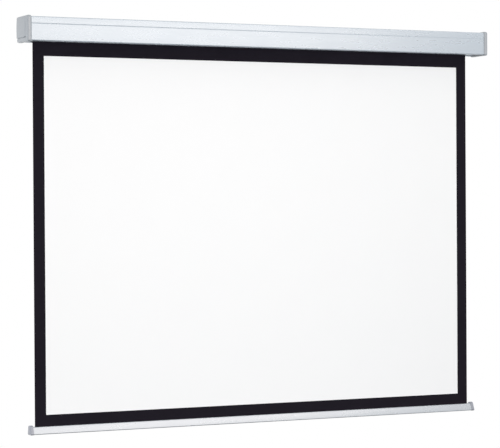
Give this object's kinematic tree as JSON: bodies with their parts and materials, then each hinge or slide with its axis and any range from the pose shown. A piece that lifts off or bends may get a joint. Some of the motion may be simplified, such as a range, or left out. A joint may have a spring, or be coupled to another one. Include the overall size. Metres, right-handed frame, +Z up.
{
  "type": "pull down projector screen",
  "caption": "Wall projection screen: a slim metal case with a spring roller, black-bordered white cloth, and a weighted bottom bar that is pulled down by hand.",
  "frame": {"origin": "centre of the case's flat back face, on the wall plane, halfway up the case", "axes": "+X along the case towards the locking end, +Y into the wall, +Z up"},
  "size_m": [1.7756, 0.0977, 1.3924],
  "materials": {
    "case_metal": "satin white paint on aluminium",
    "cap_plastic": "light grey moulded plastic",
    "steel": "zinc-plated steel",
    "dark_steel": "oiled spring steel",
    "plug_plastic": "black moulded plastic",
    "white_coat": "matt white viewing surface",
    "black_cloth": "matt black coated cloth",
    "bar_metal": "satin white paint on aluminium",
    "bar_cap_plastic": "grey moulded plastic"
  },
  "bodies": {
    "housing": {"case_shell": "case_metal", "end_cap_left": "cap_plastic", "end_cap_right": "cap_plastic", "end_plate_left": "steel", "end_plate_right": "steel", "plate_screw_left_bottom_front": "steel", "plate_screw_left_bottom_back": "steel", "plate_screw_left_top_back": "steel", "plate_screw_left_top_front": "steel", "plate_screw_right_bottom_front": "steel", "plate_screw_right_bottom_back": "steel", "plate_screw_right_top_back": "steel", "plate_screw_right_top_front": "steel", "screen_cloth": "black_cloth", "picture_coat": "white_coat", "idle_bush": "plug_plastic", "spring_rod": "steel", "tang_seat": "dark_steel", "notched_hub": "dark_steel", "rod_clip": "dark_steel", "spring_collar": "steel"},
    "bottom_bar": {"bar_profile": "bar_metal", "hem_band": "black_cloth", "hem_rod": "steel", "bar_cap_left": "bar_cap_plastic", "bar_cap_right": "bar_cap_plastic"},
    "roller": {"roller_tube": "steel", "wound_cloth": "black_cloth", "idle_plug": "plug_plastic", "idle_pin": "steel", "drive_plug": "plug_plastic", "torsion_spring": "dark_steel", "inner_bush": "plug_plastic", "pawl_pin_a": "steel", "pawl_pin_b": "steel"},
    "upper_pawl": {"pawl_a": "dark_steel"},
    "lower_pawl": {"pawl_b": "dark_steel"}
  },
  "joints": [
    {"name": "screen_pull", "type": "slide", "parent": "housing", "child": "bottom_bar", "axis": [0, 0, 1], "range_m": [0, 1.275], "deforming": ["screen_cloth", "picture_coat"]},
    {"name": "roller_spin", "type": "hinge", "parent": "housing", "child": "roller", "pos_m": [0, -0.04, 0], "axis": [1, 0, 0], "range_deg": [0, 2701]},
    {"name": "upper_pawl_swing", "type": "hinge", "parent": "roller", "child": "upper_pawl", "pos_m": [0.8557, -0.04, 0.0175], "axis": [1, 0, 0], "range_deg": [0, 20]},
    {"name": "lower_pawl_swing", "type": "hinge", "parent": "roller", "child": "lower_pawl", "pos_m": [0.8557, -0.04, -0.0175], "axis": [1, 0, 0], "range_deg": [0, 20]}
  ],
  "couplings": [
    {"joint": "roller_spin", "follows": "screen_pull", "rad_per_m": 36.96}
  ]
}
